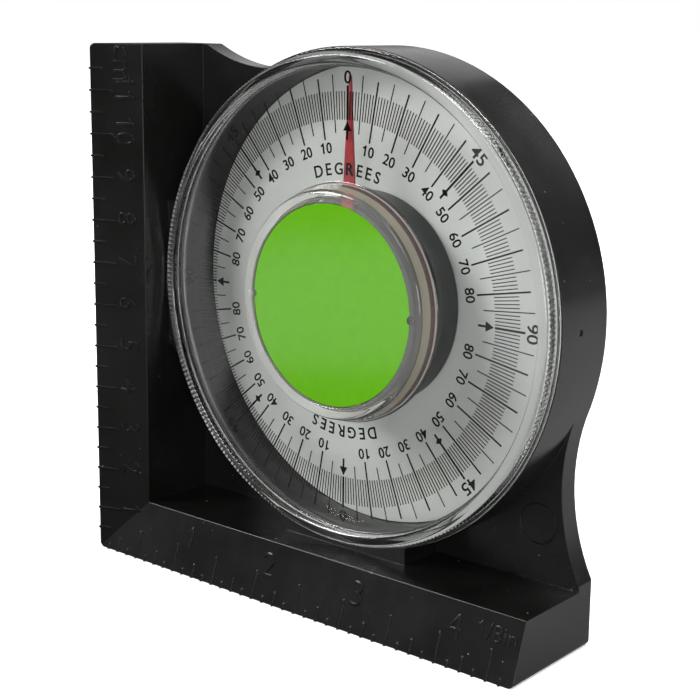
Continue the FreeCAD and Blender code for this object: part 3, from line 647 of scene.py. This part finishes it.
def draw_profile(name, corners, segments):
    """Draw a profile from corner to corner and round its corners. Stays in edit mode."""
    deselect()
    bpy.ops.mesh.primitive_plane_add(size=MM, location=dial_place(corners[0][0], corners[0][1]))
    piece = bpy.context.object
    piece.name = name
    apply_place()
    bpy.ops.object.mode_set(mode="EDIT")
    bpy.ops.mesh.select_mode(type="VERT")
    bpy.ops.mesh.merge(type="CENTER")
    for (radius, depth, _), (next_radius, next_depth, _) in zip(corners, corners[1:]):
        step = ((next_radius - radius) * MM, (next_depth - depth) * MM, 0)
        bpy.ops.mesh.extrude_vertices_move(TRANSFORM_OT_translate={"value": step})
    for size in sorted({corner[2] for corner in corners if corner[2]}):
        places = [dial_place(radius, depth) for radius, depth, rounding in corners if rounding == size]
        select_points(piece, lambda co: any((co - place).length < POINT_GAP * MM for place in places))
        bpy.ops.mesh.bevel(offset=size * MM, segments=segments, affect="VERTICES")
    return piece


def spin_round(steps):
    """In edit mode, carry the profile all the way round the pivot's axis and close it."""
    bpy.ops.mesh.select_all(action="SELECT")
    bpy.ops.mesh.spin(steps=steps, angle=math.tau, center=pivot, axis=(0, 1, 0))
    close_surface(SEAM_GAP)


# %% [markdown]
# The lip's outer side has fine ribs to grip it by, about a millimetre apart. They are made by spinning
# with two steps to a rib and then moving every second row of vertices on the rib's band outwards. Below
# the ribs a small flange covers the edge of the cup. The boss's rim and wall get the satin finish, and
# all the rest is clear.

# %% Lens
RIB_COUNT = 300
RIB_HEIGHT = 0.3
RIB_BAND = (9.25, 11.25)
RIM_RADII = (21.6, 25.6)
RIM_DEPTH = 6.28
WALL_RADIUS = 23.2
WALL_DEPTH = 9.95
LIP_RADIUS = 52.45
LIP_MARGIN = 0.05
ROUND_SEGMENTS = 4
LENS_CORNERS = [
    (0, 6.3, 0), (21.7, 6.3, 0.15), (21.7, 5.5, 0.25), (24.3, 5.5, 0.9), (25.5, 10.2, 0.5), (50.0, 10.2, 0.5),
    (50.1, 8.4, 0.7), (52.4, 8.4, 0.8), (LIP_RADIUS, 9.3, 0), (LIP_RADIUS, 11.2, 0.1), (53.55, 11.2, 0.4),
    (53.55, 11.95, 0.1), (52.55, 11.95, 0), (52.55, 13.8, 0.1), (51.15, 13.8, 0.1), (51.15, 12.2, 0.1),
    (22.9, 12.2, 0.2), (22.9, 7.8, 0.6), (3.2, 7.8, 0.3), (3.2, 10.4, 0.1), (1.65, 10.4, 0), (1.65, 8.0, 0),
    (0, 8.0, 0),
]


def raise_ribs(piece):
    """Move every second row of vertices on the lip's outer side outwards."""
    low, high = (front_y + depth * MM for depth in RIB_BAND)
    half_step = 180 / RIB_COUNT

    def on_rib(place):
        if abs(axis_distance(place) - LIP_RADIUS) > LIP_MARGIN or not low < place.y < high:
            return False
        degrees = math.degrees(math.atan2(place.x - pivot_x, place.z - pivot_z))
        return round(degrees / half_step) % 2 == 0

    select_points(piece, on_rib)
    share = 1 + RIB_HEIGHT / LIP_RADIUS
    bpy.ops.transform.resize(value=(share, 1, share), center_override=pivot)


def finish_of(face):
    """Which finish a face of the lens has: 0 clear, 1 the satin rim of the boss, 2 its satin wall."""
    depth = (face.center.y - front_y) / MM
    radius = axis_distance(face.center)
    if not RIM_RADII[0] < radius < RIM_RADII[1]:
        return 0
    if depth < RIM_DEPTH:
        return 1
    return 2 if radius > WALL_RADIUS and depth < WALL_DEPTH else 0


def make_lens():
    piece = draw_profile("clear_lens", LENS_CORNERS, ROUND_SEGMENTS)
    spin_round(RIB_COUNT * 2)
    raise_ribs(piece)
    bpy.ops.mesh.select_all(action="SELECT")
    bpy.ops.mesh.normals_make_consistent(inside=False)
    bpy.ops.object.mode_set(mode="OBJECT")
    for material in (clear_plastic, satin_rim, satin_wall):
        piece.data.materials.append(material)
    for face in piece.data.polygons:
        face.material_index = finish_of(face)
    smooth()
    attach(piece, "body")
    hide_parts("lens")
    return piece


lens = make_lens()
print("lens:", len(lens.data.polygons), "faces")

# %% [markdown]
# Two small clear domes stand on the boss's rim, one on each side of the label. Each is a ball, pressed
# flatter and cut in half, with its flat side on the rim.

# %% Domes beside the label
PIP_SIZE = 1.0
PIP_FLATNESS = 0.6
PIP_RADIUS = 22.2
PIP_DEPTH = 5.56
PIP_SEGMENTS = 20
PIP_RINGS = 10


def make_pip(side):
    """A dome on one side of the label: -1 is left, 1 is right."""
    place = Vector((pivot_x + side * PIP_RADIUS * MM, front_y + PIP_DEPTH * MM, pivot_z))
    deselect()
    bpy.ops.mesh.primitive_uv_sphere_add(
        segments=PIP_SEGMENTS, ring_count=PIP_RINGS, radius=PIP_SIZE * MM, location=place)
    piece = bpy.context.object
    piece.name = ("left" if side < 0 else "right") + "_label_pip"
    apply_place()
    bpy.ops.object.mode_set(mode="EDIT")
    bpy.ops.mesh.select_all(action="SELECT")
    bpy.ops.transform.resize(value=(1, PIP_FLATNESS, 1), center_override=place)
    bpy.ops.mesh.bisect(plane_co=place, plane_no=(0, 1, 0), use_fill=True, clear_outer=True)
    bpy.ops.object.mode_set(mode="OBJECT")
    piece.data.materials.append(clear_plastic)
    smooth()
    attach(piece, "body")
    return piece


pips = [make_pip(side) for side in (-1, 1)]
print("pips:", [len(pip.data.polygons) for pip in pips], "faces")

# %% [markdown]
# Lettering starts as a text object, because its curves are already well drawn. Its figure one is a bare
# bar, so it is made a curve first, and each bar gets a flag. Then it is converted to a mesh and scaled to
# the height that its capitals have on the real piece, before it is turned and put in its place. One
# function does that for the flat print on the dial and for the raised figures on the edges.

# %% Lettering
BAR_SHARES = (0.098, 0.682)
BAR_MARGIN = 0.01
FLAG_SHARES = ((-0.045, -0.085), (-0.15, -0.12), (-0.15, -0.19), (0, -0.19))
CURVE_STEPS = 4
ROUNDING_STEPS = 1


def is_bare_bar(places, low, high, size):
    """Whether a drawn outline is the plain bar that stands for a one."""
    box = (high - low) / size
    alike = abs(box.x - BAR_SHARES[0]) <= BAR_MARGIN and abs(box.y - BAR_SHARES[1]) <= BAR_MARGIN
    return len(places) == 4 and alike


def add_flags(curve, size):
    """Draw each bare bar that stands for a one again with a flag at its top."""
    for spline in list(curve.splines):
        places = [point.co.copy() for point in spline.bezier_points]
        low = Vector((min(place.x for place in places), min(place.y for place in places)))
        high = Vector((max(place.x for place in places), max(place.y for place in places)))
        if not is_bare_bar(places, low, high, size):
            continue
        curve.splines.remove(spline)
        flag = [(low.x + x * size, high.y + y * size) for x, y in FLAG_SHARES]
        corners = [(high.x, high.y), (low.x, high.y), *flag, (low.x, low.y), (high.x, low.y)]
        drawn = curve.splines.new("POLY")
        drawn.points.add(len(corners) - 1)
        for point, (x, y) in zip(drawn.points, corners):
            point.co = (x, y, 0, 1)
        drawn.use_cyclic_u = True


def make_letters(words, height, thickness, weight, width_share=1.0, rounding=0.0):
    """Words as a closed mesh about the origin: reading along X, heads to Y and facing Z."""
    deselect()
    bpy.ops.object.text_add()
    text = bpy.context.object
    size = height * MM / BAR_SHARES[1]
    text.data.body = words
    text.data.resolution_u = CURVE_STEPS
    text.data.size = size
    bpy.ops.object.convert(target="CURVE")
    curve = bpy.context.object.data
    add_flags(curve, size)
    curve.extrude = thickness * MM / 2
    curve.offset = weight * MM
    curve.bevel_depth = rounding * MM
    curve.bevel_resolution = ROUNDING_STEPS
    bpy.ops.object.convert(target="MESH")
    piece = bpy.context.object
    xs = [vertex.co.x for vertex in piece.data.vertices]
    ys = [vertex.co.y for vertex in piece.data.vertices]
    middle = Vector(((min(xs) + max(xs)) / 2, (min(ys) + max(ys)) / 2, 0))
    share = height * MM / (max(ys) - min(ys))
    flat = Matrix.Diagonal((share * width_share, share, 1, 1))
    piece.data.transform(flat @ Matrix.Translation(-middle))
    return piece


def set_down(piece, turn, place):
    """Turn a piece about the origin, move it to its place and leave that in its mesh."""
    piece.matrix_world = Matrix.Translation(place) @ turn.to_4x4()
    deselect()
    piece.select_set(True)
    bpy.context.view_layer.objects.active = piece
    apply_place()


def join(name, pieces, material):
    """One piece out of many letters, riding on the body."""
    deselect()
    for piece in pieces:
        piece.select_set(True)
    bpy.context.view_layer.objects.active = pieces[0]
    bpy.ops.object.join()
    joined = bpy.context.object
    joined.name = name
    bpy.ops.object.mode_set(mode="EDIT")
    close_surface(POINT_GAP)
    bpy.ops.object.mode_set(mode="OBJECT")
    smooth()
    joined.data.materials.clear()
    joined.data.materials.append(material)
    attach(joined, "body")
    print(name + ":", len(joined.data.polygons), "faces")


# %% [markdown]
# The dial has numbers in two rings: tens from ten to eighty in each quarter near the middle, and zero,
# forty-five and ninety outside the scale. All of them have their heads outwards. The unit stands in an
# arc above and below the middle. They are printed on the back of the window, in the same film as the
# marks.

# %% Dial numbers
INK_THICKNESS = 0.08
PRINT_GAP = 0.01
UPRIGHT = Euler((math.radians(90), 0, 0)).to_matrix()
TEN_RADIUS = 32.75
TEN_HEIGHT = 2.35
TEN_WIDTH_SHARE = 0.98
RIM_RADIUS = 47.43
RIM_HEIGHT = 2.75
RIM_WIDTH_SHARE = 1.1
NUMBER_WEIGHT = 0.045


def lay_print(piece, radius, degrees):
    """Put flat letters on the back of the window with their heads outwards."""
    turn = Matrix.Rotation(math.radians(degrees), 3, "Y") @ UPRIGHT
    depth = PRINT_DEPTH + PRINT_GAP + INK_THICKNESS / 2
    set_down(piece, turn, dial_place(radius, depth, degrees))
    return piece


def print_numbers(name, numbers, radius, height, width_share):
    """A ring of numbers as one piece. They come as pairs of an angle and what is printed there."""
    pieces = []
    for degrees, words in numbers:
        letters = make_letters(words, height, INK_THICKNESS, NUMBER_WEIGHT, width_share)
        pieces.append(lay_print(letters, radius, degrees))
    join(name, pieces, black_ink)


ten_numbers = [(zero + side * tens, str(tens)) for zero in (0, 180) for tens in range(10, 90, 10)
               for side in (1, -1)]
print_numbers("ten_numbers", ten_numbers, TEN_RADIUS, TEN_HEIGHT, TEN_WIDTH_SHARE)
rim_numbers = [(turn * 45, ("0", "45", "90", "45")[turn % 4]) for turn in range(8)]
print_numbers("rim_numbers", rim_numbers, RIM_RADIUS, RIM_HEIGHT, RIM_WIDTH_SHARE)

# %% [markdown]
# A word along an arc is set letter by letter. Each letter takes the room that it is wide, the same gap
# follows it, and its distance along the arc becomes its angle.

# %% Words on an arc
WORD_RADIUS = 28.3
WORD_HEIGHT = 2.6
WORD_WIDTH_SHARE = 0.95
WORD_WEIGHT = 0.055
LETTER_GAP = 0.95


def set_arc_word(words, middle):
    """Letters along an arc, with the angle of the word's middle."""
    letters = [make_letters(letter, WORD_HEIGHT, INK_THICKNESS, WORD_WEIGHT, WORD_WIDTH_SHARE)
               for letter in words]
    widths = [max(vertex.co.x for vertex in letter.data.vertices) * 2 / MM for letter in letters]
    at = -(sum(widths) + LETTER_GAP * (len(words) - 1)) / 2
    for letter, width in zip(letters, widths):
        lay_print(letter, WORD_RADIUS, middle + math.degrees((at + width / 2) / WORD_RADIUS))
        at += width + LETTER_GAP
    return letters


unit_letters = [letter for middle in (0, 180) for letter in set_arc_word("DEGREES", middle)]
join("unit_words", unit_letters, black_ink)

# %% [markdown]
# The edges carry raised figures from the mould, in the body's own black plastic: inches along the base
# and centimetres up the side. Both faces slope back, so each figure is tilted by the slope's angle and
# sunk a little into the face. On the side they read downwards, with their heads to the dial.

# %% Raised figures
SLOPE_RISE = 4.45
SLOPE_WIDTH = 12.9
SLOPE = SLOPE_RISE / SLOPE_WIDTH
TILT = math.atan(SLOPE)
BASE_TURN = Euler((math.radians(90) - TILT, 0, 0)).to_matrix()
SIDE_TURN = Matrix.Rotation(TILT, 3, "Z") @ Matrix.Rotation(math.radians(90), 3, "Y") @ UPRIGHT
FIGURE_PROUD = 0.16
FIGURE_THICKNESS = 0.5
FIGURE_SUNK = FIGURE_THICKNESS / 2 - FIGURE_PROUD
FIGURE_ROUND = 0.05
FIGURE_WEIGHT = -0.05
INCH = 25.4
INCH_COUNT = 4
INCH_HEIGHT = 5.4
INCH_LINE = 7.95
PAST_INCH = 3.0
CENTIMETRE = 10.0
CENTIMETRE_COUNT = 11
CENTIMETRE_HEIGHT = 4.7
CENTIMETRE_LINE = 8.55
PAST_CENTIMETRE = 0.8
INCH_UNIT = {"x": 114.7, "z": 8.95, "height": 3.5}
CENTIMETRE_UNIT = {"x": 7.4, "z": 116.2, "height": 3.4}


def raise_figure(words, x, z, height, turn, up_slope):
    """A figure on a sloping face, at a distance up the slope from the outer edge."""
    piece = make_letters(words, height, FIGURE_THICKNESS, FIGURE_WEIGHT, rounding=FIGURE_ROUND)
    set_down(piece, turn, body_place(x, SLOPE * up_slope + FIGURE_SUNK, z))
    return piece


def raise_on_base(words, x, z, height):
    return raise_figure(words, x, z, height, BASE_TURN, z)


def raise_on_side(words, x, z, height):
    return raise_figure(words, x, z, height, SIDE_TURN, x)


inches = [raise_on_base(str(count), count * INCH + PAST_INCH, INCH_LINE, INCH_HEIGHT)
          for count in range(1, INCH_COUNT + 1)]
join("inch_figures", inches, black_plastic)
centimetres = [
    raise_on_side(str(count), CENTIMETRE_LINE, count * CENTIMETRE + PAST_CENTIMETRE, CENTIMETRE_HEIGHT)
    for count in range(1, CENTIMETRE_COUNT + 1)]
join("centimetre_figures", centimetres, black_plastic)
units = [raise_on_base("1/8in", **INCH_UNIT), raise_on_side("cm", **CENTIMETRE_UNIT)]
join("edge_units", units, black_plastic)

# %% [markdown]
# The object stands on a plain pale table. Black plastic is readable by what it mirrors, and a pale table
# all round would turn it grey. A photographer lays dark card outside the picture. Here a Light Path node
# does that: the camera sees the table pale, and reflections see dark card on the left, with one strip of
# white that the middle of the label mirrors, and a pale table on the right.

# %% Floor
FLOOR_SIZE = 30.0
FLOOR_ROUGHNESS = 0.7
FLOOR_SPECULAR = 0.2
TABLE_SEEN = 0.86
TABLE_MIRRORED = 0.5
STRIP_MIRRORED = 0.6
CARD_MIRRORED = 0.05
CARD_EDGE = (0.0, 0.1)
STRIP_WAY = (-0.62, -0.78, 0)
STRIP_ACROSS = (0.78, -0.62, 0)
STRIP_START = (0.2, 0.25)
STRIP_END = (0.5, 0.62)
STRIP_SIDE = (0.045, 0.07)
GLOW_REACH = (0.15, 0.5)
GLOW_NEAR = 0.5
GLOW_FAR = 1.0


def along_way(tree, where, way):
    """How far a place lies along a direction."""
    return add_node(tree, "VectorMath", [(0, where), (1, way)], operation="DOT_PRODUCT").outputs["Value"]


def mirrored_tone(tree, where):
    """The table as reflections see it: a soft white strip on dark card to the left, and pale to the right."""
    apart = add_node(tree, "SeparateXYZ", [("Vector", where)])
    right = fade(tree, apart.outputs["X"], *CARD_EDGE, CARD_MIRRORED, TABLE_MIRRORED)
    along = along_way(tree, where, STRIP_WAY)
    across = maths(tree, "ABSOLUTE", along_way(tree, where, STRIP_ACROSS))
    begun = fade(tree, along, *STRIP_START)
    ended = fade(tree, along, *STRIP_END, 1.0, 0.0)
    beside = fade(tree, across, *STRIP_SIDE, STRIP_MIRRORED, 0.0)
    strip = maths(tree, "MULTIPLY", maths(tree, "MULTIPLY", begun, ended), beside)
    return maths(tree, "MAXIMUM", right, strip)


def make_floor():
    deselect()
    bpy.ops.mesh.primitive_plane_add(size=FLOOR_SIZE)
    floor = bpy.context.object
    floor.name = "floor"
    material, tree, shader = new_material("pale_table")
    where = object_vector(tree)
    seen = add_node(tree, "LightPath").outputs["Is Camera Ray"]
    pairs = [("Value", seen), ("To Min", mirrored_tone(tree, where)), ("To Max", TABLE_SEEN)]
    tone = add_node(tree, "MapRange", pairs).outputs["Result"]
    feed(tree, shader.inputs["Base Color"], grey(tree, tone))
    shader.inputs["Emission Color"].default_value = (1, 1, 1, 1)
    distance = add_node(tree, "VectorMath", [(0, where)], operation="LENGTH").outputs["Value"]
    glow = fade(tree, distance, *GLOW_REACH, GLOW_NEAR, GLOW_FAR)
    feed(tree, shader.inputs["Emission Strength"], maths(tree, "MULTIPLY", seen, glow))
    shader.inputs["Roughness"].default_value = FLOOR_ROUGHNESS
    shader.inputs["Specular IOR Level"].default_value = FLOOR_SPECULAR
    floor.data.materials.append(material)
    floor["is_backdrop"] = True
    return floor


floor = make_floor()
print("floor is", FLOOR_SIZE, "m across")

# %% [markdown]
# The room round the table is pale at the horizon and dim above, so that every gloss has something to
# mirror. The camera sees it white, like the table. The lens's lip bends rays out into the room, and they
# find it darker still, as they do where the lip sits in its black ledge.

# %% Room
HORIZON_RISE = 0.12
HORIZON_MIRRORED = 0.4
ROOM_LIGHT = 0.13
BENT_SHARE = 0.25


def make_room():
    world = bpy.data.worlds.new("room")
    world.use_nodes = True
    tree = world.node_tree
    direction = add_node(tree, "SeparateXYZ", [("Vector", add_node(tree, "TexCoord").outputs["Generated"])])
    path = add_node(tree, "LightPath")
    bent = fade(tree, path.outputs["Is Transmission Ray"], 0.0, 1.0, 1.0, BENT_SHARE)
    room_tone = fade(tree, direction.outputs["Z"], 0.0, HORIZON_RISE, HORIZON_MIRRORED, ROOM_LIGHT)
    mirrored = maths(tree, "MULTIPLY", bent, room_tone)
    background = tree.nodes["Background"]
    background.inputs["Color"].default_value = (1, 1, 1, 1)
    strength = maths(tree, "MAXIMUM", mirrored, path.outputs["Is Camera Ray"])
    feed(tree, background.inputs["Strength"], strength)
    bpy.context.scene.world = world


make_room()
print("room:", bpy.context.scene.world.name)

# %% [markdown]
# Soft square lamps light the object. A low front lamp reaches the dial under the raised boss, and the key
# lamp above it and the left lamp shape the rest. The right lamp lights the drum behind the boss. The
# table lamp keeps the table behind white, the top lamp gives the cup's top its sheen, and the back lamp
# is for whoever walks round. Rays that the lens bends don't see the lamps, because the lens lets their
# light straight through already. A lamp that isn't mirrored leaves no white square in the window. The
# Standard view shows the tones just as they are lit.

# %% Lamps
DIAL_AIM = (0, 0, 0.06)


def add_lamp(name, place, aim, size, power, mirrored=True):
    """A square lamp turned to what it lights, with its size in metres and its power in watts."""
    lamp = bpy.data.objects.new(name, bpy.data.lights.new(name, "AREA"))
    bpy.context.scene.collection.objects.link(lamp)
    lamp.data.size = size
    lamp.data.energy = power
    lamp.visible_transmission = False
    lamp.visible_glossy = mirrored
    lamp.location = place
    lamp.rotation_mode = "QUATERNION"
    lamp.rotation_quaternion = (Vector(aim) - Vector(place)).to_track_quat("-Z", "Y")


add_lamp("front_lamp", (0.3, -1.0, 0.15), DIAL_AIM, size=0.35, power=4.2, mirrored=False)
add_lamp("key_lamp", (0.3, -0.75, 0.7), DIAL_AIM, size=0.4, power=1.8)
add_lamp("left_lamp", (-0.65, -0.6, 0.65), DIAL_AIM, size=0.4, power=8.5)
add_lamp("right_lamp", (0.55, -0.4, 0.12), DIAL_AIM, size=0.25, power=1.2)
add_lamp("table_lamp", (0.25, 0.45, 1.5), (0.2, 0.3, 0), size=0.8, power=26.0)
add_lamp("top_lamp", (-0.56, 0.9, 0.55), (0, 0, 0.1), size=0.5, power=0.5)
add_lamp("back_lamp", (-0.05, 1.2, 0.35), DIAL_AIM, size=0.5, power=4.0)
bpy.context.scene.view_settings.view_transform = "Standard"
bpy.context.scene.view_settings.look = "None"

# %% Sizes and finish
boxes = {"cad": [list(corner) for corner in cad_box], "scene": [list(corner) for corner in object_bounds()]}
for name, box in boxes.items():
    print(name, "box in mm:", [[round(value / MM, 2) for value in corner] for corner in box])
